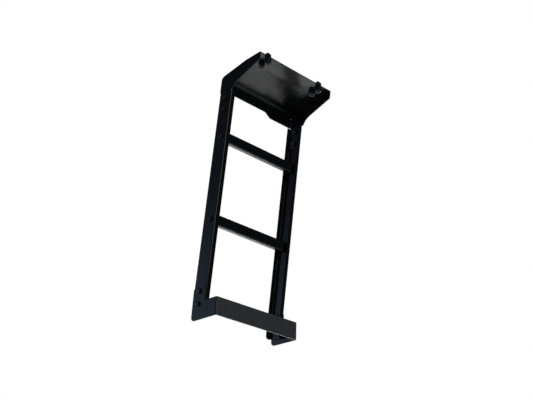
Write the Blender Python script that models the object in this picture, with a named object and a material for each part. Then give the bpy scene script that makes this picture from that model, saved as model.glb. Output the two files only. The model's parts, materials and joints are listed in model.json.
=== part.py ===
"""Tailgate step: a bolted ladder of folded sheet steel that hangs from a slanted hood.

Two channel rails carry two rungs, a U-shaped step at the foot and a folded hood at the
head. Four studs with nuts and washers hold the hood to the vehicle. Nothing moves.

X runs across the ladder, +Y points away from the climber, +Z is up. The origin is below
the middle of the object, level with its lowest point. Lengths are in millimetres here
and become metres where vertices are made.
"""

import bmesh
import bpy
from math import asin, atan2, cos, degrees, pi, radians, sin, tan
from mathutils import Matrix, Vector

MM = 0.001

# ---------------------------------------------------------------- driving dimensions
WIDTH = 300.0            # over the outer faces of the two rails
SHEET = 3.0              # thickness of every folded plate
FIT_GAP = 0.3            # left between pieces that touch
BEND_RADIUS = 4.5        # outer radius of a fold

RAIL_DEPTH = 50.0        # front face to rear face of a rail
FLANGE_WIDTH = 16.0
FLANGE_CORNER = 9.0         # rounded lower corner of each flange
RAIL_FOOT_Z = 18.0       # lower end of the rails
FLANGE_TOP_Z = 685.4     # the flanges stop here and the flat ear begins
RELIEF = 2.5             # height of the small cut between flange and ear

HOOD_REACH = 107.4       # front edge of the hood, ahead of the rails
HOOD_FRONT_Z = 777.4
HOOD_FOLD = (-49.6, 768.0)
HOOD_REAR_Z = 738.9
HOOD_REAR_RADIUS = 14.0
EAR_SLOPE = 25.0         # degrees; lower edge of the ear
EAR_CORNER_Z = 702.4     # where that edge would meet the rail's front
EAR_SWEEP_RADIUS = 48.0  # concave sweep from the ear into the rail

RUNG_HEIGHT = 31.3
RUNG_DEPTH = 16.0
RUNG_SETBACK = 6.7       # front face of a rung, behind the rails' front face
RUNG_TOPS_Z = {"upper": 557.2, "lower": 306.5}

STEP_TILT = 6.1          # degrees; the step plate leans out at its foot
STEP_FRONT_FOOT = (-58.6, 9.413)
STEP_HEIGHT = 51.3
STEP_ARM_LENGTH = 95.4
STEP_TAB_TOP = 91.0      # height of the bolted tabs above the strap's lower edge
STEP_TAB_WIDTH = 42.0

BACK_LIP_Z = 700.8       # lower edge of the hood's back plate over most of the width
LEG_FOOT_Z = 612.0       # lower end of the hood's two bolted legs
LEG_WIDTH = 36.0

M8 = {"shank": 8.0, "flats": 13.0, "head": 5.3, "nut": 6.5, "hole": 9.0}
M12 = {"shank": 12.0, "flats": 18.0, "nut": 10.4, "hole": 13.5}
WASHER_DIAMETER = 22.0
WASHER_THICKNESS = 2.5

STUD_SPACING_X = 214.0
STUD_FROM_EDGE = (12.7, 38.0)
STUD_ABOVE = 20.0        # stud end above the hood's upper face
STUD_BELOW = 17.3        # stud end below the hood's lower face

# bolt centres on the rails, as (distance behind the rail's front face, height)
HOOD_BOLTS = {"a": (22.5, 667.3), "b": (22.5, 628.8)}
STEP_BOLTS = {"a": (21.7, 83.2), "b": (21.7, 46.9)}
RUNG_BOLT_BACK = 19.4

# ---------------------------------------------------------------- derived dimensions
HALF = WIDTH / 2
INNER = HALF - SHEET - FIT_GAP               # outer face of what sits inside the rails
HOOD_PITCH = atan2(HOOD_FRONT_Z - HOOD_FOLD[1], HOOD_FOLD[0] + HOOD_REACH)
DEPTH = RAIL_DEPTH + HOOD_REACH + SHEET * sin(HOOD_PITCH)
RAIL_FRONT_Y = DEPTH / 2 - RAIL_DEPTH
STEP_FOOT_RADIUS = 12.0
STEP_FOOT_SWEEP = 6.0       # the arm's lower rear corner lies this far behind its tab


def clear_scene():
    """Remove every object, so that the script can run again."""
    for obj in list(bpy.data.objects):
        bpy.data.objects.remove(obj)


# ---------------------------------------------------------------- outlines
def arc(centre, radius, start, end, steps):
    """Points on a circular arc between two angles in degrees."""
    points = []
    for i in range(steps + 1):
        angle = radians(start + (end - start) * i / steps)
        points.append((centre[0] + radius * cos(angle), centre[1] + radius * sin(angle)))
    return points


def rounded(corners, step_degrees=15.0):
    """Turn corners (a, b, radius) into an outline with filleted corners."""
    outline = []
    for i, (a, b, radius) in enumerate(corners):
        here = Vector((a, b))
        before = (Vector(corners[i - 1][:2]) - here).normalized()
        after = (Vector(corners[(i + 1) % len(corners)][:2]) - here).normalized()
        if radius == 0.0:
            outline.append((a, b))
            continue
        half = before.angle(after) / 2
        centre = here + (before + after).normalized() * (radius / sin(half))
        first = here + before * (radius / tan(half)) - centre
        last = here + after * (radius / tan(half)) - centre
        turn = first.angle_signed(last)
        steps = max(2, round(abs(degrees(turn)) / step_degrees))
        for k in range(steps + 1):
            spoke = Matrix.Rotation(-turn * k / steps, 2) @ first
            outline.append(tuple(centre + spoke))
    return outline


def behind(point):
    """World Y and Z of a point given as (distance behind the rail's front, height)."""
    return (RAIL_FRONT_Y + point[0], point[1])


def step_point(back, up):
    """World Y and Z of a point in the tilted frame of the step strap."""
    tilt = radians(STEP_TILT)
    foot_y, foot_z = behind(STEP_FRONT_FOOT)
    return (foot_y + back * cos(tilt) + up * sin(tilt),
            foot_z - back * sin(tilt) + up * cos(tilt))


# ---------------------------------------------------------------- folded plates
class Sheet:
    """The outer faces of one folded plate, thickened when they are complete."""

    def __init__(self, name):
        self.name = name
        self.bm = bmesh.new()

    def face(self, points):
        """Add one flat face from points in millimetres."""
        verts = [self.bm.verts.new(Vector(p) * MM) for p in points]
        self.bm.faces.new(verts)

    def bend(self, start, end, centre, axis, angle, steps=4):
        """Roll the edge start-end about an axis, and return the edge it ends on."""
        previous = (Vector(start), Vector(end))
        for i in range(steps):
            turn = Matrix.Rotation(radians(angle) / steps, 3, Vector(axis))
            following = tuple(turn @ (p - Vector(centre)) + Vector(centre) for p in previous)
            self.face((previous[0], previous[1], following[1], following[0]))
            previous = following
        return previous

    def finish(self, material, outward):
        """Merge the faces, thicken them inward and return the object."""
        bmesh.ops.remove_doubles(self.bm, verts=self.bm.verts, dist=1e-6)
        bmesh.ops.recalc_face_normals(self.bm, faces=self.bm.faces)
        self.bm.faces.ensure_lookup_table()
        if self.bm.faces[0].normal.dot(Vector(outward)) < 0:
            bmesh.ops.reverse_faces(self.bm, faces=self.bm.faces)
        obj = mesh_object(self.name, self.bm, material)
        thickness = obj.modifiers.new("Sheet thickness", "SOLIDIFY")
        thickness.thickness = SHEET * MM
        thickness.offset = -1.0
        thickness.use_even_offset = True
        return obj


def mesh_object(name, bm, material):
    """Store a bmesh as a new object with one material."""
    mesh = bpy.data.meshes.new(name)
    bm.to_mesh(mesh)
    bm.free()
    mesh.materials.append(material)
    obj = bpy.data.objects.new(name, mesh)
    bpy.context.scene.collection.objects.link(obj)
    return obj


def bake(obj):
    """Replace an object's mesh by the result of its modifiers, and shade it."""
    graph = bpy.context.evaluated_depsgraph_get()
    graph.update()
    mesh = bpy.data.meshes.new_from_object(obj.evaluated_get(graph))
    obj.modifiers.clear()
    obj.data = mesh
    mesh.name = obj.name
    mesh.shade_smooth()
    mesh.set_sharp_from_angle(angle=radians(32))
    return obj


def boolean(obj, tool, operation):
    """Apply one exact Boolean and remove its tool."""
    modifier = obj.modifiers.new(operation.title(), "BOOLEAN")
    modifier.operation = operation
    modifier.solver = "EXACT"
    modifier.object = tool
    bake(obj)
    bpy.data.objects.remove(tool)
    return obj


def cylinder(name, radius, bottom, top, material, segments=16):
    """A round bar on the Z axis."""
    bm = bmesh.new()
    spin = Matrix.Translation((0, 0, (bottom + top) / 2 * MM))
    bmesh.ops.create_cone(bm, cap_ends=True, segments=segments, radius1=radius * MM,
                          radius2=radius * MM, depth=(top - bottom) * MM, matrix=spin)
    return mesh_object(name, bm, material)


def drill(plate, holes, diameter, axis, material, reach=30.0):
    """Cut round holes through a plate, each centred on a point, along one axis."""
    bm = bmesh.new()
    turn = Vector((0, 0, 1)).rotation_difference(Vector(axis)).to_matrix().to_4x4()
    for hole in holes:
        place = Matrix.Translation(Vector(hole) * MM) @ turn
        bmesh.ops.create_cone(bm, cap_ends=True, segments=24, radius1=diameter / 2 * MM,
                              radius2=diameter / 2 * MM, depth=reach * MM, matrix=place)
    return boolean(plate, mesh_object("hole_cutter", bm, material), "DIFFERENCE")


# ---------------------------------------------------------------- rails
def ear_outline():
    """Outline of the ear above the flanges, from the rail's front round to its rear."""
    nose_z = EAR_CORNER_Z + HOOD_REACH * tan(radians(EAR_SLOPE))
    sweep_z = FLANGE_TOP_Z + RELIEF
    radius = EAR_SWEEP_RADIUS
    centre = (-radius, EAR_CORNER_Z - radius * tan(radians(90.0 - EAR_SLOPE) / 2))
    finish = degrees(asin((sweep_z - centre[1]) / radius))
    front = [(-HOOD_REACH, HOOD_FRONT_Z), (-HOOD_REACH, nose_z)]
    front += arc(centre, radius, 90.0 - EAR_SLOPE, finish, 6)
    rear = rounded([HOOD_FOLD + (0.0,),
                    (RAIL_DEPTH, HOOD_REAR_Z, HOOD_REAR_RADIUS),
                    (RAIL_DEPTH, sweep_z, 0.0)])
    return list(reversed(front)) + rear


def side_plate(name, side, material):
    """One rail: channel below, flat ear above, folded from a single plate."""
    sheet = Sheet(name)
    x = side * HALF
    near = BEND_RADIUS
    far = RAIL_DEPTH - BEND_RADIUS
    low = RAIL_FOOT_Z
    high = FLANGE_TOP_Z
    web = [(near, high + RELIEF), (near, high), (near, low)]
    web += [(far, low), (far, high), (far, high + RELIEF)]
    web += list(reversed(ear_outline()))
    sheet.face([(x,) + behind(p) for p in web])
    for edge, sign in ((near, -1), (far, 1)):
        start = (x,) + behind((edge, low))
        end = (x,) + behind((edge, high))
        centre = (x - side * BEND_RADIUS, RAIL_FRONT_Y + edge, 0.0)
        angle = 90.0 * sign * side
        foot, head = sheet.bend(start, end, centre, (0, 0, 1), angle)
        tip = x - side * FLANGE_WIDTH
        flange = [(foot.x, foot.z, 0.0), (head.x, head.z, 0.0), (tip, head.z, 0.0),
                  (tip, foot.z, FLANGE_CORNER)]
        sheet.face([(px, head.y, pz) for px, pz in rounded(flange, 30.0)])
    plate = bake(sheet.finish(material, (side, 0, 0)))
    centres = list(HOOD_BOLTS.values()) + list(STEP_BOLTS.values())
    for top in RUNG_TOPS_Z.values():
        centres.append((RUNG_BOLT_BACK, top - RUNG_HEIGHT / 2))
    return drill(plate, [(x,) + behind(c) for c in centres], M8["hole"], (1, 0, 0), material)


# ---------------------------------------------------------------- rungs
def rung(name, top, material):
    """One rung: a channel with two flanges behind it and a bolted tab at each end."""
    sheet = Sheet(name)
    y = RAIL_FRONT_Y + RUNG_SETBACK
    bottom = top - RUNG_HEIGHT
    r = BEND_RADIUS
    flange_x = INNER - 8.0
    tab_x = INNER - r
    tab_z = r + 2.5
    face = [(-flange_x, bottom + r), (flange_x, bottom + r), (tab_x, bottom + tab_z),
            (tab_x, top - tab_z), (flange_x, top - r), (-flange_x, top - r),
            (-tab_x, top - tab_z), (-tab_x, bottom + tab_z)]
    sheet.face([(px, y, pz) for px, pz in face])
    for z, sign in ((bottom, 1), (top, -1)):
        edge = z + sign * r
        ends = sheet.bend((-flange_x, y, edge), (flange_x, y, edge), (0, y + r, edge),
                          (1, 0, 0), 90.0 * sign)
        rear = y + RUNG_DEPTH
        sheet.face([tuple(ends[0]), tuple(ends[1]), (flange_x, rear, z), (-flange_x, rear, z)])
    for side in (-1, 1):
        x = side * tab_x
        ends = sheet.bend((x, y, bottom + tab_z), (x, y, top - tab_z), (x, y + r, 0),
                          (0, 0, 1), 90.0 * side)
        rear = RAIL_FRONT_Y + RUNG_BOLT_BACK + 11.0
        tab = [(ends[0].y, bottom + tab_z, 0.0), (rear, bottom + tab_z, 5.0),
               (rear, top - tab_z, 5.0), (ends[1].y, top - tab_z, 0.0)]
        sheet.face([(side * INNER, py, pz) for py, pz in rounded(tab, 30.0)])
    plate = bake(sheet.finish(material, (0, -1, 0)))
    centre = (RAIL_FRONT_Y + RUNG_BOLT_BACK, (top + bottom) / 2)
    holes = [(side * INNER,) + centre for side in (-1, 1)]
    return drill(plate, holes, M8["hole"], (1, 0, 0), material)


# ---------------------------------------------------------------- hood
def hood_plate(name, material):
    """The hood: a slanted top in two slopes, a back plate and two bolted legs."""
    sheet = Sheet(name)
    r = BEND_RADIUS
    edge = INNER - r
    leg_top = FLANGE_TOP_Z + 33.0
    top_line = rounded([(-HOOD_REACH, HOOD_FRONT_Z, 0.0),
                        HOOD_FOLD + (0.0,),
                        (RAIL_DEPTH, HOOD_REAR_Z, HOOD_REAR_RADIUS),
                        (RAIL_DEPTH, leg_top + RELIEF, 0.0)])
    for first, second in zip(top_line, top_line[1:]):
        y0, z0 = behind(first)
        y1, z1 = behind(second)
        strip = [(-INNER, y0, z0), (INNER, y0, z0), (INNER, y1, z1), (-INNER, y1, z1)]
        if second == top_line[-1]:
            strip[3:3] = [(edge, y1, z1), (-edge, y1, z1)]
        sheet.face(strip)
    back_y = RAIL_FRONT_Y + RAIL_DEPTH
    low = FLANGE_TOP_Z + RELIEF
    back = [(-edge, leg_top + RELIEF), (-edge, leg_top), (-edge, BACK_LIP_Z),
            (33.0, BACK_LIP_Z), (55.0, low), (edge, low), (edge, leg_top),
            (edge, leg_top + RELIEF)]
    sheet.face([(px, back_y, pz) for px, pz in back])
    for side, foot in ((-1, BACK_LIP_Z), (1, low)):
        x = side * edge
        ends = sheet.bend((x, back_y, foot), (x, back_y, leg_top), (x, back_y - r, 0),
                          (0, 0, 1), -90.0 * side)
        rear = RAIL_DEPTH - SHEET - FIT_GAP - 0.5
        rear_y = RAIL_FRONT_Y + rear
        front_y = rear_y - LEG_WIDTH
        leg = [(ends[1].y, leg_top, 0.0), (front_y, leg_top, 8.0),
               (front_y, LEG_FOOT_Z, 6.0), (rear_y, LEG_FOOT_Z, 6.0),
               (rear_y, FLANGE_TOP_Z - 1.5, 0.0), (ends[0].y, FLANGE_TOP_Z - 1.5, 0.0),
               (ends[0].y, foot, 0.0)]
        sheet.face([(side * INNER, py, pz) for py, pz in rounded(leg, 30.0)])
    plate = bake(sheet.finish(material, (0, 0, 1)))
    holes = [(side * INNER,) + behind(c) for side in (-1, 1) for c in HOOD_BOLTS.values()]
    plate = drill(plate, holes, M8["hole"], (1, 0, 0), material)
    return drill(plate, stud_feet(), M12["hole"], hood_normal(), material)


def hood_normal():
    """Unit normal of the hood's front strip."""
    return (0.0, sin(HOOD_PITCH), cos(HOOD_PITCH))


def stud_feet():
    """Where the four studs cross the upper face of the hood's front strip."""
    feet = []
    for side in (-1, 1):
        for distance in STUD_FROM_EDGE:
            y = RAIL_FRONT_Y - HOOD_REACH + distance * cos(HOOD_PITCH)
            z = HOOD_FRONT_Z - distance * sin(HOOD_PITCH)
            feet.append((side * STUD_SPACING_X / 2, y, z))
    return feet


# ---------------------------------------------------------------- step
def step_bracket(name, material):
    """The lowest step: one strap folded into a U, with a bolted tab on each arm."""
    sheet = Sheet(name)
    r = BEND_RADIUS
    outer = HALF + FIT_GAP + SHEET
    fold = outer - r
    front = [(-fold, 0.0), (fold, 0.0), (fold, STEP_HEIGHT), (-fold, STEP_HEIGHT)]
    sheet.face([(px,) + step_point(0.0, up) for px, up in front])
    tab_front = STEP_ARM_LENGTH - STEP_TAB_WIDTH
    axis = Vector((0.0, sin(radians(STEP_TILT)), cos(radians(STEP_TILT))))
    for side in (-1, 1):
        start = (side * fold,) + step_point(0.0, 0.0)
        end = (side * fold,) + step_point(0.0, STEP_HEIGHT)
        centre = (side * fold,) + step_point(r, 0.0)
        sheet.bend(start, end, centre, axis, 90.0 * side)
        arm = [(r, 0.0, 0.0), (STEP_ARM_LENGTH + STEP_FOOT_SWEEP, 0.0, STEP_FOOT_RADIUS),
               (STEP_ARM_LENGTH, STEP_TAB_TOP, 5.0), (tab_front, STEP_TAB_TOP, 5.0),
               (tab_front, STEP_HEIGHT, 6.0), (r, STEP_HEIGHT, 0.0)]
        sheet.face([(side * outer,) + step_point(*p) for p in rounded(arm)])
    plate = bake(sheet.finish(material, (0, -1, 0)))
    holes = [(side * outer,) + behind(c) for side in (-1, 1) for c in STEP_BOLTS.values()]
    return drill(plate, holes, M8["hole"], (1, 0, 0), material, reach=20.0)


# ---------------------------------------------------------------- fasteners
def hex_radius(size):
    """Corner radius of a hexagon, from its width across the flats."""
    return size["flats"] / 2 / cos(pi / 6)


def bolt_mesh(material, grip):
    """Hexagon bolt: head above Z = 0, shank below."""
    bolt = cylinder("bolt", hex_radius(M8), 0.0, M8["head"], material, segments=6)
    shank = cylinder("shank", M8["shank"] / 2, -grip, 0.5, material)
    return boolean(bolt, shank, "UNION")


def nut_mesh(size, height, material):
    """Hexagon nut on the Z axis, its face on Z = 0."""
    nut = cylinder("nut", hex_radius(size), 0.0, height, material, segments=6)
    bore = cylinder("bore", size["shank"] / 2 + 0.1, -1.0, height + 1.0, material)
    return boolean(nut, bore, "DIFFERENCE")


def washer_mesh(material):
    """Plain washer, its lower face on Z = 0."""
    washer = cylinder("washer", WASHER_DIAMETER / 2, 0.0, WASHER_THICKNESS, material, 24)
    bore = cylinder("bore", M12["shank"] / 2 + 0.3, -1.0, WASHER_THICKNESS + 1.0, material)
    return boolean(washer, bore, "DIFFERENCE")


def stud_mesh(material):
    """Stud with rounded ends; Z = 0 is the upper face of the plate it passes through."""
    bottom = -SHEET - STUD_BELOW
    stud = cylinder("stud", M12["shank"] / 2, bottom, STUD_ABOVE, material)
    bm = bmesh.new()
    bm.from_mesh(stud.data)
    rims = [e for e in bm.edges if abs(e.verts[0].co.z - e.verts[1].co.z) < 1e-7]
    bmesh.ops.bevel(bm, geom=rims, offset=2.0 * MM, segments=2, affect="EDGES")
    bm.to_mesh(stud.data)
    bm.free()
    return bake(stud)


def place(name, template, location, direction, material):
    """A copy of a fastener with its Z axis turned to a direction; it shares the mesh."""
    copy = bpy.data.objects.new(name, template.data)
    bpy.context.scene.collection.objects.link(copy)
    copy.location = Vector(location) * MM
    copy.rotation_mode = "QUATERNION"
    copy.rotation_quaternion = Vector((0, 0, 1)).rotation_difference(Vector(direction))
    return copy


def frame_bolts(bolt, nut, material):
    """Twelve bolts through the rails, with their nuts on the inside."""
    stations = {"hood_" + k: c for k, c in HOOD_BOLTS.items()}
    stations.update({"step_" + k: c for k, c in STEP_BOLTS.items()})
    for level, top in RUNG_TOPS_Z.items():
        stations["rung_" + level] = (RUNG_BOLT_BACK, top - RUNG_HEIGHT / 2)
    for station, centre in stations.items():
        outside = HALF + FIT_GAP
        inside = INNER - SHEET - FIT_GAP
        if station.startswith("step"):
            outside = HALF + SHEET + 2 * FIT_GAP
            inside = HALF - SHEET - FIT_GAP
        for hand, side in (("left", -1), ("right", 1)):
            head = (side * outside,) + behind(centre)
            seat = (side * inside,) + behind(centre)
            place(f"bolt_{station}_{hand}", bolt, head, (side, 0, 0), material)
            place(f"nut_{station}_{hand}", nut, seat, (-side, 0, 0), material)


def hood_studs(stud, nut, washer, material):
    """Four studs through the hood's front strip, each with two washers and two nuts."""
    normal = Vector(hood_normal())
    names = ("left_front", "left_rear", "right_front", "right_rear")
    for name, foot in zip(names, stud_feet()):
        foot = Vector(foot)
        place(f"stud_{name}", stud, foot, normal, material)
        above = FIT_GAP
        place(f"washer_top_{name}", washer, foot + normal * above, normal, material)
        above += WASHER_THICKNESS + FIT_GAP
        place(f"nut_top_{name}", nut, foot + normal * above, normal, material)
        below = -SHEET - FIT_GAP
        place(f"washer_low_{name}", washer, foot + normal * below, -normal, material)
        below -= WASHER_THICKNESS + FIT_GAP
        place(f"nut_low_{name}", nut, foot + normal * below, -normal, material)


# ---------------------------------------------------------------- assembly
def coating(name, colour, roughness, metallic):
    """A plain Principled material."""
    material = bpy.data.materials.new(name)
    material.use_nodes = True
    shader = material.node_tree.nodes["Principled BSDF"]
    shader.inputs["Base Color"].default_value = colour + (1.0,)
    shader.inputs["Roughness"].default_value = roughness
    shader.inputs["Metallic"].default_value = metallic
    return material


def main():
    clear_scene()
    coat = coating("black_powder_coat", (0.012, 0.013, 0.015), 0.25, 0.0)
    tread = coating("black_grip_coat", (0.022, 0.023, 0.025), 0.55, 0.0)
    steel = coating("black_oxide_steel", (0.03, 0.03, 0.032), 0.3, 1.0)

    side_plate("side_plate_left", -1, coat)
    side_plate("side_plate_right", 1, coat)
    hood_plate("hood_plate", coat)
    for level, top in RUNG_TOPS_Z.items():
        rung(f"rung_{level}", top, tread)
    step_bracket("step_bracket", tread)

    bolt = bolt_mesh(steel, grip=20.0)
    nut = nut_mesh(M8, M8["nut"], steel)
    frame_bolts(bolt, nut, steel)
    large_nut = nut_mesh(M12, M12["nut"], steel)
    washer = washer_mesh(steel)
    stud = stud_mesh(steel)
    hood_studs(stud, large_nut, washer, steel)
    for template in (bolt, nut, large_nut, washer, stud):
        bpy.data.objects.remove(template)


main()
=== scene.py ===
# %% [markdown]
# # A tailgate step in Blender
# The object is a short ladder of folded sheet steel. Two channel rails carry two rungs
# and a U-shaped foot step, and a slanted hood at the head takes four studs. The packed
# CAD model fixes every size and place. This lesson gives each piece its finish: crisp
# folded edges, turned fasteners with real threads, grains on the foot step, and coatings
# that are drawn by nodes at their real scale.

import bmesh
import bpy
import json
from math import cos, pi, radians, sin
from mathutils import Euler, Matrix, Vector


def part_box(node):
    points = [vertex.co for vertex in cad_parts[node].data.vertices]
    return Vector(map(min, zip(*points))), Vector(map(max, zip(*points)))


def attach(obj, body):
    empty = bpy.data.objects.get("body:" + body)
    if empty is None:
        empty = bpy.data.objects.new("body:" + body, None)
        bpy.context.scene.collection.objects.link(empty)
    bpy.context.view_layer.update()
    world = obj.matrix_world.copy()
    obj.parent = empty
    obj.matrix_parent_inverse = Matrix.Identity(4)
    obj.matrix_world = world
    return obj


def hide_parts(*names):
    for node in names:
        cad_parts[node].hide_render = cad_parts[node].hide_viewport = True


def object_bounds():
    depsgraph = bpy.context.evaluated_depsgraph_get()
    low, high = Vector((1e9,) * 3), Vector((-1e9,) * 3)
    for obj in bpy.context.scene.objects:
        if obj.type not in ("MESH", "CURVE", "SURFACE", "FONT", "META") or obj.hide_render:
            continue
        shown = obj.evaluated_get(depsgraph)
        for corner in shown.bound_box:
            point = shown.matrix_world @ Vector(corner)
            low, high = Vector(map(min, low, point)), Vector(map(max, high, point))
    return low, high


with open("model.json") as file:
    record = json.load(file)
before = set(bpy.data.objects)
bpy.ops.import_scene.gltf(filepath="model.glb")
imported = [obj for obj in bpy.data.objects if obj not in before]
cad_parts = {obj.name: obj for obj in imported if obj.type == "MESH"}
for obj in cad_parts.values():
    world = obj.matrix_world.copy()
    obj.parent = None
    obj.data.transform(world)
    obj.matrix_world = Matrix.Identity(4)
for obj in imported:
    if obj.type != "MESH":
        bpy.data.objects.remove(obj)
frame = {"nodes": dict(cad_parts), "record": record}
CAD_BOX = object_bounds()
MM = 0.001
print("CAD box in metres:", [tuple(round(v, 4) for v in corner) for corner in CAD_BOX])


# %% [markdown]
# ## Helpers for materials
# Colours are written as the hex values that a paint chart or a screen shows. The shader
# wants linear light, so one function turns them. A second one adds a node, gives it
# its settings and joins its inputs, which keeps each material short enough to read.

# %% Colour and node helpers
def linear(hex_colour):
    """An sRGB hex colour as linear RGBA."""
    channels = [int(hex_colour[i:i + 2], 16) / 255 for i in (1, 3, 5)]
    curve = [c / 12.92 if c <= 0.04045 else ((c + 0.055) / 1.055) ** 2.4 for c in channels]
    return tuple(curve) + (1.0,)


def add_node(tree, kind, inputs=None, **settings):
    """Add a node; an input may be a value or the output socket that feeds it."""
    node = tree.nodes.new(kind)
    for name, value in settings.items():
        setattr(node, name, value)
    for name, value in (inputs or {}).items():
        socket = node.inputs[name]
        if isinstance(value, bpy.types.NodeSocket):
            tree.links.new(value, socket)
        else:
            socket.default_value = value
    return node


def blank_material(name):
    """A material with an empty tree and its output node."""
    material = bpy.data.materials.new(name)
    material.use_nodes = True
    material.node_tree.nodes.clear()
    output = material.node_tree.nodes.new("ShaderNodeOutputMaterial")
    return material, material.node_tree, output


print("white as linear light:", linear("#ffffff"))


# %% [markdown]
# ## Gloss black powder coat
# Powder coat is a baked polyester film about 0.08 mm thick. It flows while it bakes but
# never quite levels, so a reflection in it has soft edges and a faint orange peel with
# a wavelength of 1 to 3 mm. Its colour is near black, so nearly all that is seen of it
# is what it reflects. A film like this has an IOR close to 1.5. Handling leaves patches
# that are slightly duller, tens of millimetres across, and a little dust stays in them.
#
# Three coats share the recipe. The rails, rungs and arms are glossy. The hood is a broad
# panel that mirrors the floor, and its coat is set duller so that the mirrored floor has
# soft edges. A cut edge gets rubbed, so its coat is rougher still and a little paler.

# %% Powder coat material
PEEL_SIZE = 2.2 * MM          # wavelength of the orange peel
HANDLING_SIZE = 45 * MM       # size of the duller patches
DUST_SIZE = 1.4 * MM          # drawn coarser than real dust, which would not show


def powder_coat(name, dark, light, gloss, dull, peel):
    """Black film with orange peel, duller patches and fine dust."""
    material, tree, output = blank_material(name)
    place = add_node(tree, "ShaderNodeTexCoord").outputs["Object"]
    patches = add_node(tree, "ShaderNodeTexNoise",
                       {"Vector": place, "Scale": 1 / HANDLING_SIZE, "Detail": 3.0,
                        "Roughness": 0.55})
    dust = add_node(tree, "ShaderNodeTexNoise",
                    {"Vector": place, "Scale": 1 / DUST_SIZE, "Detail": 2.0})
    specks = add_node(tree, "ShaderNodeMapRange",
                      {"Value": dust.outputs["Fac"], "From Min": 0.62, "From Max": 0.78})
    dulled = add_node(tree, "ShaderNodeMapRange",
                      {"Value": patches.outputs["Fac"], "From Min": 0.35, "From Max": 0.7,
                       "To Min": gloss, "To Max": dull})
    colour = add_node(tree, "ShaderNodeMix",
                      {"Factor": specks.outputs["Result"], "A": linear(dark),
                       "B": linear(light)}, data_type="RGBA")
    film = add_node(tree, "ShaderNodeTexNoise",
                    {"Vector": place, "Scale": 1 / PEEL_SIZE, "Detail": 1.0})
    bump = add_node(tree, "ShaderNodeBump",
                    {"Height": film.outputs["Fac"], "Strength": peel,
                     "Distance": 0.02 * MM})
    shader = add_node(tree, "ShaderNodeBsdfPrincipled",
                      {"Base Color": colour.outputs["Result"], "Metallic": 0.0,
                       "Roughness": dulled.outputs["Result"], "IOR": 1.5,
                       "Normal": bump.outputs["Normal"]})
    tree.links.new(shader.outputs["BSDF"], output.inputs["Surface"])
    return material


GLOSS_COAT = powder_coat("gloss_black_powder_coat", "#050608", "#0b0c0f", 0.14, 0.21, 0.5)
HOOD_COAT = powder_coat("satin_black_powder_coat", "#050608", "#0b0c0f", 0.23, 0.31, 0.5)
EDGE_COAT = powder_coat("rubbed_powder_coat_edge", "#0c0d0f", "#17181b", 0.36, 0.46, 0.5)
print("powder coat materials:", GLOSS_COAT.name, HOOD_COAT.name, EDGE_COAT.name)


# %% [markdown]
# ## Grip coat
# The front of the foot step carries the same film with grit baked into it, so boots
# don't slip. The grit scatters light, which lifts the black to a soft dark grey. The
# grains themselves come later as geometry; the material adds the finer ones between
# them as bump, at 0.8 mm.

# %% Grip coat material
GRIT_SIZE = 0.8 * MM
GRIT_PATCH_SIZE = 2.6 * MM    # clusters, coarse enough to show from a few metres


def grip_coat(name, dark, light):
    """Rough black film with fine grit."""
    material, tree, output = blank_material(name)
    place = add_node(tree, "ShaderNodeTexCoord").outputs["Object"]
    grit = add_node(tree, "ShaderNodeTexVoronoi",
                    {"Vector": place, "Scale": 1 / GRIT_SIZE, "Randomness": 1.0})
    clusters = add_node(tree, "ShaderNodeTexNoise",
                        {"Vector": place, "Scale": 1 / GRIT_PATCH_SIZE, "Detail": 4.0,
                         "Roughness": 0.75})
    spread = add_node(tree, "ShaderNodeMapRange",
                      {"Value": clusters.outputs["Fac"], "From Min": 0.3, "From Max": 0.7})
    colour = add_node(tree, "ShaderNodeMix",
                      {"Factor": spread.outputs["Result"], "A": linear(dark),
                       "B": linear(light)}, data_type="RGBA")
    roughness = add_node(tree, "ShaderNodeMapRange",
                         {"Value": grit.outputs["Distance"], "From Min": 0.0,
                          "From Max": 0.6, "To Min": 0.34, "To Max": 0.55})
    bump = add_node(tree, "ShaderNodeBump",
                    {"Height": grit.outputs["Distance"], "Strength": 0.7,
                     "Distance": 0.2 * MM})
    shader = add_node(tree, "ShaderNodeBsdfPrincipled",
                      {"Base Color": colour.outputs["Result"], "Metallic": 0.0,
                       "Roughness": roughness.outputs["Result"], "IOR": 1.5,
                       "Normal": bump.outputs["Normal"]})
    tree.links.new(shader.outputs["BSDF"], output.inputs["Surface"])
    return material


GRIP_COAT = grip_coat("black_grit_powder_coat", "#1c1e22", "#525459")
print("grip material:", GRIP_COAT.name)


# %% [markdown]
# ## Black oxide steel
# Bolts, studs, nuts and washers are steel with a chemical black oxide film and a trace
# of oil. The film is magnetite, which is not a metal, so the shader isn't metallic. It
# is about a micrometre thick, so the machining marks show through it. The oil on top is
# what shines: the faces stay dark and the chamfers catch small glints.

# %% Black oxide material
TURNING_SIZE = 0.5 * MM       # spacing of the tool marks
OIL_PATCH_SIZE = 8 * MM       # oil gathers and dries in patches
OXIDE_IOR = 1.5               # the trace of oil over the film


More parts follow.
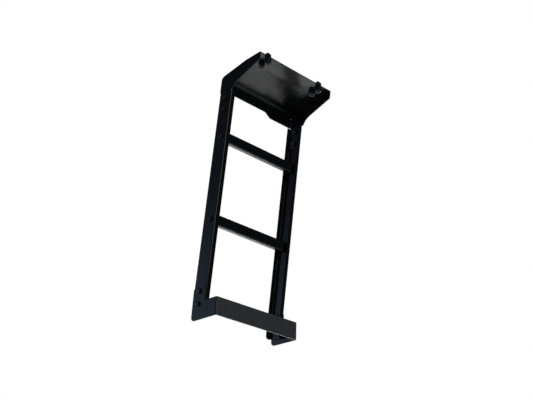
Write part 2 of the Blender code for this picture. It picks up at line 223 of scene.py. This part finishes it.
def black_oxide(name, dark, light):
    """Dark oiled steel with fine machining marks."""
    material, tree, output = blank_material(name)
    place = add_node(tree, "ShaderNodeTexCoord").outputs["Object"]
    marks = add_node(tree, "ShaderNodeTexNoise",
                     {"Vector": place, "Scale": 1 / TURNING_SIZE, "Detail": 2.0})
    oil = add_node(tree, "ShaderNodeTexNoise",
                   {"Vector": place, "Scale": 1 / OIL_PATCH_SIZE, "Detail": 2.0})
    colour = add_node(tree, "ShaderNodeMix",
                      {"Factor": oil.outputs["Fac"], "A": linear(dark),
                       "B": linear(light)}, data_type="RGBA")
    roughness = add_node(tree, "ShaderNodeMapRange",
                         {"Value": oil.outputs["Fac"], "From Min": 0.3, "From Max": 0.7,
                          "To Min": 0.18, "To Max": 0.3})
    bump = add_node(tree, "ShaderNodeBump",
                    {"Height": marks.outputs["Fac"], "Strength": 0.35,
                     "Distance": 0.02 * MM})
    shader = add_node(tree, "ShaderNodeBsdfPrincipled",
                      {"Base Color": colour.outputs["Result"], "Metallic": 0.0,
                       "Roughness": roughness.outputs["Result"], "IOR": OXIDE_IOR,
                       "Normal": bump.outputs["Normal"]})
    tree.links.new(shader.outputs["BSDF"], output.inputs["Surface"])
    return material


BLACK_STEEL = black_oxide("black_oxide_steel", "#101113", "#1e1f22")
print("fastener material:", BLACK_STEEL.name)


# %% [markdown]
# ## Turning modifiers into a mesh
# Every piece below is built with modifiers or Geometry Nodes and then frozen: the
# evaluated object becomes a plain mesh whose object sits at the origin, unturned.

# %% Freeze an object
def freeze(obj, name):
    """A new plain object from the evaluated one; the working object is removed."""
    graph = bpy.context.evaluated_depsgraph_get()
    graph.update()
    mesh = bpy.data.meshes.new_from_object(obj.evaluated_get(graph))
    mesh.name = name
    bpy.data.objects.remove(obj)
    piece = bpy.data.objects.new(name, mesh)
    bpy.context.scene.collection.objects.link(piece)
    return piece


def new_object(name, bm):
    """A linked object from a bmesh, which is freed."""
    mesh = bpy.data.meshes.new(name)
    bm.to_mesh(mesh)
    bm.free()
    obj = bpy.data.objects.new(name, mesh)
    bpy.context.scene.collection.objects.link(obj)
    return obj


def on_frame(piece, slot, *nodes):
    """Let a finished piece ride on the part and stand for its CAD nodes."""
    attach(piece, "root")
    if nodes:
        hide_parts(*nodes)
    triangles = sum(len(face.vertices) - 2 for face in piece.data.polygons)
    print(f"{piece.name}: {triangles} triangles, replaces {len(nodes)} nodes")
    return piece


# %% [markdown]
# ## Folded plates
# The plates are laser-cut from 3 mm sheet and folded on a press brake, and the cut edges
# are broken before coating, so no edge is sharp. The CAD solid has the true shape with
# sharp edges. A copy of it is merged into whole faces, its edges get a small bevel, and
# weighted normals keep the flats flat. The bevel faces take a second material, because
# the film is thinner and more rubbed on an edge.

# %% Copy and merge a CAD node
EDGE_BREAK = 0.5 * MM
MERGE_DISTANCE = 2e-6         # metres; joins the corners of loose triangles
FLAT_WITHIN = 0.6             # degrees between faces that count as one flat
SHARP_OVER = 50               # degrees; the facets of a fold turn far less than this
LOOKS_FORWARD = -0.95         # the Y of a normal that points at the user
EDGE_INDEX = 1                # places of the edge and front coats among the materials
FRONT_INDEX = 2


def merged_copy(node):
    """A bmesh copy of a CAD node, its loose triangles joined into whole faces."""
    bm = bmesh.new()
    bm.from_mesh(frame["nodes"][node].data)
    bmesh.ops.remove_doubles(bm, verts=bm.verts, dist=MERGE_DISTANCE)
    bmesh.ops.dissolve_limit(bm, angle_limit=radians(FLAT_WITHIN), verts=bm.verts,
                             edges=bm.edges)
    return bm


def folded_plate(node, name, slot, coat=GLOSS_COAT, front=None):
    """The finished plate that stands for one CAD node; its front may differ."""
    plate = new_object(name, merged_copy(node))
    plate.data.materials.clear()
    for material in (coat, EDGE_COAT, front or coat):
        plate.data.materials.append(material)
    for face in plate.data.polygons:
        if face.normal.y < LOOKS_FORWARD:
            face.material_index = FRONT_INDEX
    plate.data.shade_smooth()
    edges = plate.modifiers.new("Edge break", "BEVEL")
    edges.width = EDGE_BREAK
    edges.segments = 2
    edges.limit_method = "ANGLE"
    edges.angle_limit = radians(SHARP_OVER)
    edges.material = EDGE_INDEX
    normals = plate.modifiers.new("Flat faces", "WEIGHTED_NORMAL")
    normals.keep_sharp = True
    return on_frame(freeze(plate, name), slot, node)


# %% Finish the six plates
folded_plate("side_plate_left", "rail_left", "powder_coat")
folded_plate("side_plate_right", "rail_right", "powder_coat")
folded_plate("hood_plate", "hood", "powder_coat", coat=HOOD_COAT)
folded_plate("rung_upper", "upper_rung", "grip_coat")
folded_plate("rung_lower", "lower_rung", "grip_coat")
folded_plate("step_bracket", "foot_step", "grip_coat", front=GRIP_COAT)


# %% [markdown]
# ## Hexagons and threads
# A bolt head or nut starts as a hexagonal bar whose corners are turned off at 30 degrees,
# which leaves the curved edges that catch the light. That is a prism intersected with a
# chamfered round blank. A thread is one long helix. Here it is a tube whose radius at
# each height depends on the height minus the pitch times the turn, so the ridge climbs
# by one pitch each time round.

# %% Round blanks and hexagons
def turned(name, profile, segments=32):
    """A closed round body from (radius, height) points, listed from the bottom up."""
    bm = bmesh.new()
    rings = []
    for radius, height in profile:
        ring = [bm.verts.new((radius * cos(2 * pi * k / segments),
                              radius * sin(2 * pi * k / segments), height))
                for k in range(segments)]
        rings.append(ring)
    for low, high in zip(rings, rings[1:]):
        for k in range(segments):
            after = (k + 1) % segments
            bm.faces.new((low[k], low[after], high[after], high[k]))
    bm.faces.new(list(reversed(rings[0])))
    bm.faces.new(rings[-1])
    return new_object(name, bm)


def cut_with(obj, tool, operation):
    """Apply one exact Boolean to obj and remove the tool."""
    modifier = obj.modifiers.new(operation, "BOOLEAN")
    modifier.operation = operation
    modifier.solver = "EXACT"
    modifier.object = tool
    result = freeze(obj, obj.name)
    bpy.data.objects.remove(tool)
    return result


CHAMFER_SLOPE = 0.577         # height over width of a 30 degree chamfer
FACE_SHARE = 0.97             # the flat end circle, as a share of the width across flats
BLANK_SHARE = 1.02            # the blank stands just proud of the corners


def hexagon(name, flats, bottom, top, chamfer_below):
    """A hexagonal body with its corners turned off at the top, and perhaps below."""
    corner = flats / 2 / cos(pi / 6)
    face = flats / 2 * FACE_SHARE
    rim = corner * BLANK_SHARE
    drop = (rim - face) * CHAMFER_SLOPE
    lower = [(face, bottom), (rim, bottom + drop)] if chamfer_below else [(rim, bottom)]
    blank = turned("blank", lower + [(rim, top - drop), (face, top)], 48)
    prism = turned(name, [(corner, bottom - MM), (corner, top + MM)], 6)
    return cut_with(prism, blank, "INTERSECT")


print("helpers ready: turned, cut_with, hexagon")


# %% Threaded rod
THREAD_DEPTH = 0.55           # as a share of the pitch
FLANK_STEEPNESS = 2.6         # how quickly the groove closes either side of its bottom
END_TAPER = 0.42              # how far the rounded end draws in, as a share of the radius


def threaded_rod(name, radius, pitch, bottom, top, end_round, segments=28):
    """A rod on the Z axis with a helical thread and rounded ends."""
    depth = pitch * THREAD_DEPTH
    rows = max(2, round((top - bottom) / (pitch / 4)))
    bm = bmesh.new()
    rings = []
    for row in range(rows + 1):
        height = bottom + (top - bottom) * row / rows
        ring = []
        for k in range(segments):
            phase = (height / pitch - k / segments) % 1.0
            groove = depth * max(0.0, 1 - FLANK_STEEPNESS * abs(phase - 0.5))
            edge = min(height - bottom, top - height)
            ease = max(0.0, 1 - edge / end_round)
            here = (radius - groove) * (1 - ease ** 2 * END_TAPER)
            angle = 2 * pi * k / segments
            ring.append(bm.verts.new((here * cos(angle), here * sin(angle), height)))
        rings.append(ring)
    for low, high in zip(rings, rings[1:]):
        for k in range(segments):
            after = (k + 1) % segments
            bm.faces.new((low[k], low[after], high[after], high[k]))
    bm.faces.new(list(reversed(rings[0])))
    bm.faces.new(rings[-1])
    return new_object(name, bm)


# %% [markdown]
# ## The five fastener patterns
# Each pattern is centred on its own length, because the middle of a CAD node's box is
# then exactly where the pattern goes.

# %% Make the patterns
BEVEL_OVER = 28               # degrees; sharper edges are broken
SMOOTH_UNDER = 32             # degrees; flatter edges are shaded as one surface


def soften(obj, width=0.25 * MM):
    """A small bevel and smooth shading for a turned part."""
    bevel = obj.modifiers.new("Broken edge", "BEVEL")
    bevel.width = width
    bevel.segments = 2
    bevel.angle_limit = radians(BEVEL_OVER)
    result = freeze(obj, obj.name)
    result.data.shade_smooth()
    result.data.set_sharp_from_angle(angle=radians(SMOOTH_UNDER))
    return result


M8_FLATS = 13 * MM            # width across the flats
M8_HEAD = 5.3 * MM
M8_LENGTH = 25.3 * MM         # over all, head included
M8_RADIUS = 4 * MM
M8_PITCH = 1.25 * MM
M8_NUT_HEIGHT = 6.5 * MM
M12_FLATS = 18 * MM
M12_RADIUS = 6 * MM
M12_PITCH = 1.75 * MM
M12_NUT_HEIGHT = 10.4 * MM
NUT_CLEARANCE = 0.1 * MM      # the bore is this much wider than the thread
STUD_HALF = 20.15 * MM        # half the length of a stud
WASHER_RADIUS = 11 * MM
WASHER_HALF = 1.25 * MM       # half its thickness
WASHER_BORE = 6.3 * MM
COLLAR_RADIUS = 6.1 * MM      # the washer face under a bolt's head
COLLAR_HEIGHT = 0.3 * MM


def bolt_pattern():
    """Hexagon bolt: head at the top, washer face under it, threaded shank below."""
    half = M8_LENGTH / 2
    seat = half - M8_HEAD
    head = soften(hexagon("bolt_pattern", M8_FLATS, seat + COLLAR_HEIGHT, half, False))
    collar = turned("collar", [(COLLAR_RADIUS, seat),
                               (COLLAR_RADIUS, seat + 2 * COLLAR_HEIGHT)], 40)
    head = cut_with(head, collar, "UNION")
    shank = threaded_rod("shank", M8_RADIUS, M8_PITCH, -half, seat + 0.1 * MM, 1.2 * MM, 20)
    return cut_with(head, shank, "UNION")


def nut_pattern(name, flats, height, bore):
    """Hexagon nut with both faces chamfered and a plain bore."""
    nut = hexagon(name, flats, -height / 2, height / 2, True)
    hole = turned("hole", [(bore, -height), (bore, height)], 28)
    return soften(cut_with(nut, hole, "DIFFERENCE"))


def washer_pattern():
    """Plain washer with rolled-over edges."""
    washer = turned("washer_pattern", [(WASHER_RADIUS, -WASHER_HALF),
                                       (WASHER_RADIUS, WASHER_HALF)], 48)
    hole = turned("hole", [(WASHER_BORE, -3 * MM), (WASHER_BORE, 3 * MM)], 28)
    return soften(cut_with(washer, hole, "DIFFERENCE"), 0.4 * MM)


PATTERNS = {
    "bolt": bolt_pattern(),
    "nut": nut_pattern("nut_pattern", M8_FLATS, M8_NUT_HEIGHT, M8_RADIUS + NUT_CLEARANCE),
    "large_nut": nut_pattern("large_nut_pattern", M12_FLATS, M12_NUT_HEIGHT,
                             M12_RADIUS + NUT_CLEARANCE),
    "washer": washer_pattern(),
    "stud": threaded_rod("stud_pattern", M12_RADIUS, M12_PITCH, -STUD_HALF, STUD_HALF,
                         2.4 * MM),
}
for pattern in PATTERNS.values():
    pattern.data.shade_smooth()
    pattern.data.set_sharp_from_angle(angle=radians(SMOOTH_UNDER))
    pattern.hide_render = True
print({name: len(p.data.polygons) for name, p in PATTERNS.items()})


# %% [markdown]
# ## A Geometry Nodes tree that sets fasteners
# One tree serves all five patterns. It receives points that carry an axis, puts a
# fastener on each, turns it to the axis and then spins it by a seeded random angle,
# because nobody tightens two nuts to the same angle. The instances are made real and
# given their material, since an exported model keeps only real meshes.

# %% Build the fastener tree
def fastener_tree():
    """Points with an axis in, real fasteners with a material out."""
    tree = bpy.data.node_groups.new("set_fasteners", "GeometryNodeTree")
    face = tree.interface
    face.new_socket("Geometry", in_out="INPUT", socket_type="NodeSocketGeometry")
    for name, kind in (("Fastener", "Object"), ("Largest spin", "Float"), ("Seed", "Int"),
                       ("Finish", "Material")):
        face.new_socket(name, in_out="INPUT", socket_type="NodeSocket" + kind)
    face.new_socket("Geometry", in_out="OUTPUT", socket_type="NodeSocketGeometry")
    given = add_node(tree, "NodeGroupInput").outputs
    axis = add_node(tree, "GeometryNodeInputNamedAttribute", {"Name": "axis"},
                    data_type="FLOAT_VECTOR")
    turn = add_node(tree, "FunctionNodeAlignRotationToVector",
                    {"Vector": axis.outputs["Attribute"]}, axis="Z")
    spin = add_node(tree, "FunctionNodeRandomValue", data_type="FLOAT")
    tree.links.new(given["Largest spin"], spin.inputs[3])
    tree.links.new(given["Seed"], spin.inputs["Seed"])
    around = add_node(tree, "FunctionNodeAxisAngleToRotation",
                      {"Axis": (0, 0, 1), "Angle": spin.outputs[1]})
    both = add_node(tree, "FunctionNodeRotateRotation",
                    {"Rotation": turn.outputs["Rotation"],
                     "Rotate By": around.outputs["Rotation"]}, rotation_space="LOCAL")
    source = add_node(tree, "GeometryNodeObjectInfo", {"Object": given["Fastener"]})
    copies = add_node(tree, "GeometryNodeInstanceOnPoints",
                      {"Points": given["Geometry"], "Instance": source.outputs["Geometry"],
                       "Rotation": both.outputs["Rotation"]})
    real = add_node(tree, "GeometryNodeRealizeInstances",
                    {"Geometry": copies.outputs["Instances"]})
    coated = add_node(tree, "GeometryNodeSetMaterial",
                      {"Geometry": real.outputs["Geometry"], "Material": given["Finish"]})
    add_node(tree, "NodeGroupOutput", {"Geometry": coated.outputs["Geometry"]})
    return tree


def set_input(modifier, name, value):
    """Set a modifier's input by the identifier behind its name."""
    for item in modifier.node_group.interface.items_tree:
        if item.item_type == "SOCKET" and item.in_out == "INPUT" and item.name == name:
            modifier[item.identifier] = value


FASTENER_TREE = fastener_tree()
print("tree nodes:", len(FASTENER_TREE.nodes))


# %% Set the fasteners
def points_with_axis(name, places, axes):
    """A mesh of loose points, each with the direction its fastener faces."""
    mesh = bpy.data.meshes.new(name)
    mesh.from_pydata(places, [], [])
    attribute = mesh.attributes.new("axis", "FLOAT_VECTOR", "POINT")
    attribute.data.foreach_set("vector", [c for axis in axes for c in axis])
    obj = bpy.data.objects.new(name, mesh)
    bpy.context.scene.collection.objects.link(obj)
    return obj


def set_fasteners(name, pattern, prefix, axis_of, spin, seed):
    """One piece that stands for every CAD node whose name has the prefix."""
    nodes = sorted(n for n in frame["nodes"] if n.startswith(prefix))
    places = [sum(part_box(n), Vector()) / 2 for n in nodes]
    holder = points_with_axis(name + "_points", places, [axis_of(p, n) for p, n in
                                                         zip(places, nodes)])
    modifier = holder.modifiers.new("Set fasteners", "NODES")
    modifier.node_group = FASTENER_TREE
    set_input(modifier, "Fastener", PATTERNS[pattern])
    set_input(modifier, "Largest spin", radians(spin))
    set_input(modifier, "Seed", seed)
    set_input(modifier, "Finish", BLACK_STEEL)
    return on_frame(freeze(holder, name), "black_steel", *nodes)


STUD_AXIS = next(Vector(mount["axis"]) for mount in frame["record"]["mounts"]
                 if mount["name"] == "stud_group")


def outward(place, node):
    """Bolt heads face away from the middle of the ladder."""
    return Vector((1 if place.x > 0 else -1, 0, 0))


def along_stud(place, node):
    """Hood hardware follows the studs; the lower side faces down."""
    return -STUD_AXIS if "low" in node else STUD_AXIS


set_fasteners("frame_bolts", "bolt", "bolt_", outward, 60, 3)
set_fasteners("frame_nuts", "nut", ("nut_hood", "nut_rung", "nut_step"), outward, 60, 7)
set_fasteners("hood_studs", "stud", "stud_", along_stud, 0, 1)
set_fasteners("hood_nuts", "large_nut", ("nut_top", "nut_low"), along_stud, 8, 5)
set_fasteners("hood_washers", "washer", "washer_", along_stud, 60, 9)
for pattern in PATTERNS.values():
    bpy.data.objects.remove(pattern)


# %% [markdown]
# ## Grit on the foot step
# The front face of the foot step is covered with grit grains about a millimetre across.
# Scattering is a rule, so it suits Geometry Nodes: points keep a least distance from
# each other on the face, and each gets a small faceted grain of random size. The face to
# cover is found on the CAD node itself, as the largest one that looks forward.

# %% Find the tread face
def tread_face(node, margin):
    """The largest forward-looking face of a node, pulled in by a margin."""
    bm = merged_copy(node)
    forward = [f for f in bm.faces if f.normal.y < LOOKS_FORWARD]
    best = max(forward, key=lambda f: f.calc_area())
    bmesh.ops.delete(bm, geom=[f for f in bm.faces if f is not best], context="FACES")
    bmesh.ops.inset_region(bm, faces=list(bm.faces), thickness=margin)
    largest = max(f.calc_area() for f in bm.faces)
    rim = [f for f in bm.faces if f.calc_area() < largest / 2]
    bmesh.ops.delete(bm, geom=rim, context="FACES")
    print(node, "tread area in cm2:", round(sum(f.calc_area() for f in bm.faces) * 1e4, 1))
    return new_object(node + "_face", bm)


# %% Build the grit tree
LEAST_GRAIN = (0.6, 0.6, 0.35)    # scale of the smallest grain, flatter than it is wide
LARGEST_GRAIN = (1.2, 1.2, 0.7)


def grit_tree():
    """A face in, real grains with a material out."""
    tree = bpy.data.node_groups.new("scatter_grit", "GeometryNodeTree")
    face = tree.interface
    face.new_socket("Geometry", in_out="INPUT", socket_type="NodeSocketGeometry")
    for name, kind in (("Least spacing", "Float"), ("Most per area", "Float"),
                       ("Grain radius", "Float"), ("Seed", "Int"), ("Finish", "Material")):
        face.new_socket(name, in_out="INPUT", socket_type="NodeSocket" + kind)
    face.new_socket("Geometry", in_out="OUTPUT", socket_type="NodeSocketGeometry")
    given = add_node(tree, "NodeGroupInput").outputs
    spots = add_node(tree, "GeometryNodeDistributePointsOnFaces",
                     {"Mesh": given["Geometry"], "Distance Min": given["Least spacing"],
                      "Density Max": given["Most per area"], "Seed": given["Seed"]},
                     distribute_method="POISSON")
    grain = add_node(tree, "GeometryNodeMeshIcoSphere",
                     {"Radius": given["Grain radius"], "Subdivisions": 1})
    size = add_node(tree, "FunctionNodeRandomValue", {"Seed": given["Seed"]},
                    data_type="FLOAT_VECTOR")
    size.inputs[0].default_value = LEAST_GRAIN
    size.inputs[1].default_value = LARGEST_GRAIN
    copies = add_node(tree, "GeometryNodeInstanceOnPoints",
                      {"Points": spots.outputs["Points"], "Instance": grain.outputs["Mesh"],
                       "Rotation": spots.outputs["Rotation"], "Scale": size.outputs[0]})
    real = add_node(tree, "GeometryNodeRealizeInstances",
                    {"Geometry": copies.outputs["Instances"]})
    coated = add_node(tree, "GeometryNodeSetMaterial",
                      {"Geometry": real.outputs["Geometry"], "Material": given["Finish"]})
    add_node(tree, "NodeGroupOutput", {"Geometry": coated.outputs["Geometry"]})
    return tree


GRIT_TREE = grit_tree()
print("tree nodes:", len(GRIT_TREE.nodes))


# %% Scatter the grit
GRIT_SPACING = 1.5 * MM       # least distance between two grains
GRIT_RADIUS = 0.45 * MM
GRIT_SPREAD = 1.3             # average spacing over the least one
TREAD_MARGIN = 1.0 * MM       # the grit stops this far from the edge


def scatter_grit(name, node, seed):
    """One piece of grains on the front of a node."""
    face = tread_face(node, TREAD_MARGIN)
    modifier = face.modifiers.new("Scatter grit", "NODES")
    modifier.node_group = GRIT_TREE
    set_input(modifier, "Least spacing", GRIT_SPACING)
    set_input(modifier, "Most per area", 1 / (GRIT_SPREAD * GRIT_SPACING) ** 2)
    set_input(modifier, "Grain radius", GRIT_RADIUS)
    set_input(modifier, "Seed", seed)
    set_input(modifier, "Finish", GRIP_COAT)
    return on_frame(freeze(face, name), "grip_coat")


scatter_grit("foot_step_grit", "step_bracket", 11)


# %% [markdown]
# ## Floor, light and camera
# Black gloss shows its surroundings, so the studio is what makes it readable. A lamp
# behind the ladder makes a soft pool of light on the pale floor, and the underside of the
# hood mirrors that pool. The walls fade from bright near the floor to dark higher up,
# which gives the rails their slow gradient. A large softbox in front lifts the grit.
# The camera stands low and to the left and looks up, so the hood's underside shows.

# %% Floor
FLOOR_DROP = 0.75             # the floor is this far below the hanging step
FLOOR_REACH = 30.0            # and runs this far to each side


def pale_floor():
    """A wide plain floor."""
    material, tree, output = blank_material("pale_studio_floor")
    shader = add_node(tree, "ShaderNodeBsdfPrincipled",
                      {"Base Color": linear("#f4f4f2"), "Roughness": 0.8})
    tree.links.new(shader.outputs["BSDF"], output.inputs["Surface"])
    bm = bmesh.new()
    bmesh.ops.create_grid(bm, x_segments=1, y_segments=1, size=FLOOR_REACH)
    bmesh.ops.translate(bm, verts=bm.verts, vec=(0, 0, -FLOOR_DROP))
    floor = new_object("floor", bm)
    floor.data.materials.append(material)
    return floor


print("floor below the step in metres:", -pale_floor().data.vertices[0].co.z)


# %% Studio surroundings
def height_ramp(tree, height, stops):
    """A colour for each height on the sky, from (sine of elevation, colour)."""
    ramp = add_node(tree, "ShaderNodeValToRGB", {"Fac": height})
    elements = ramp.color_ramp.elements
    elements[0].position, elements[0].color = stops[0][0], stops[0][1] + (1.0,)
    elements[1].position, elements[1].color = stops[-1][0], stops[-1][1] + (1.0,)
    for position, colour in stops[1:-1]:
        elements.new(position).color = colour + (1.0,)
    return ramp.outputs["Color"]


BRIGHTEST = 4.0               # strength of the sky; the ramps are fractions of it
WALL = [(0.0, (0.16, 0.22, 0.27)), (0.15, (0.09, 0.125, 0.165)),
        (0.25, (0.055, 0.073, 0.1)), (0.29, (0.033, 0.047, 0.067)),
        (0.33, (0.02, 0.027, 0.04)), (0.37, (0.014, 0.018, 0.025)),
        (0.45, (0.008, 0.01, 0.012)), (0.8, (0.01, 0.01, 0.012)),
        (0.86, (0.15, 0.15, 0.15)), (1.0, (0.15, 0.15, 0.15))]
DIM_WALL = [(0.0, (0.012, 0.012, 0.013)), (0.8, (0.012, 0.012, 0.013)),
            (0.86, (0.15, 0.15, 0.15)), (1.0, (0.15, 0.15, 0.15))]
DIM_SIDE = (0.67, -0.74, 0.0)     # the dimmer wall is to the front right


def studio_world():
    """Soft surroundings: walls bright only near the floor, seen by the camera as white."""
    world = bpy.data.worlds.new("soft_studio")
    bpy.context.scene.world = world
    world.use_nodes = True
    tree = world.node_tree
    tree.nodes.clear()
    direction = add_node(tree, "ShaderNodeTexCoord").outputs["Generated"]
    height = add_node(tree, "ShaderNodeSeparateXYZ", {"Vector": direction}).outputs["Z"]
    facing = add_node(tree, "ShaderNodeVectorMath", operation="DOT_PRODUCT")
    facing.inputs[1].default_value = DIM_SIDE
    tree.links.new(direction, facing.inputs[0])
    dimness = add_node(tree, "ShaderNodeMapRange",
                       {"Value": facing.outputs["Value"], "From Min": 0.1, "From Max": 0.7})
    walls = add_node(tree, "ShaderNodeMix",
                     {"Factor": dimness.outputs["Result"],
                      "A": height_ramp(tree, height, WALL),
                      "B": height_ramp(tree, height, DIM_WALL)}, data_type="RGBA")
    seen = add_node(tree, "ShaderNodeBackground", {"Color": (1, 1, 1, 1), "Strength": 1.0})
    felt = add_node(tree, "ShaderNodeBackground", {"Color": walls.outputs["Result"],
                                                   "Strength": BRIGHTEST})
    ray = add_node(tree, "ShaderNodeLightPath").outputs["Is Camera Ray"]
    mix = add_node(tree, "ShaderNodeMixShader", {"Fac": ray})
    tree.links.new(felt.outputs["Background"], mix.inputs[1])
    tree.links.new(seen.outputs["Background"], mix.inputs[2])
    add_node(tree, "ShaderNodeOutputWorld", {"Surface": mix.outputs["Shader"]})
    return world


studio_world()
print("studio ready; strength of the sky:", BRIGHTEST)


# %% Lights
def softbox(name, place, aim, size, watts):
    """A rectangular area light aimed at a point."""
    data = bpy.data.lights.new(name, "AREA")
    data.shape = "RECTANGLE"
    data.size, data.size_y = size
    data.energy = watts
    light = bpy.data.objects.new(name, data)
    bpy.context.scene.collection.objects.link(light)
    light.location = place
    light.rotation_euler = (Vector(aim) - Vector(place)).to_track_quat("-Z", "Y").to_euler()
    return light


MIDDLE = (CAD_BOX[0] + CAD_BOX[1]) / 2
POOL = (1.55, 1.75)           # where the pool of light lies on the floor
softbox("front_softbox", (-0.9, -2.6, 1.9), MIDDLE, (2.0, 2.0), 17)
softbox("rear_softbox", (2.6, 0.6, 2.6), MIDDLE, (1.0, 1.0), 10)
softbox("floor_pool", (*POOL, 1.0), (*POOL, 0.0), (0.6, 0.6), 48)


# %% Camera
CAMERA_PLACE = Vector((-1.7711, -1.9635, -0.5814))
CAMERA_TURN = (110.239, -5.871, -44.332)      # degrees about X, Y and Z
LENS = 66.257                                 # millimetres
SENSOR = 36.0                                 # millimetres wide


def studio_camera():
    """Low three-quarter view with a slight roll."""
    data = bpy.data.cameras.new("camera")
    data.lens = LENS
    data.sensor_width = SENSOR
    camera = bpy.data.objects.new("camera", data)
    bpy.context.scene.collection.objects.link(camera)
    camera.location = CAMERA_PLACE
    camera.rotation_euler = Euler([radians(a) for a in CAMERA_TURN])
    bpy.context.scene.camera = camera
    return camera


studio_camera()
bpy.context.scene.view_settings.view_transform = "Standard"
print("camera distance in metres:", round((CAMERA_PLACE - MIDDLE).length, 2))
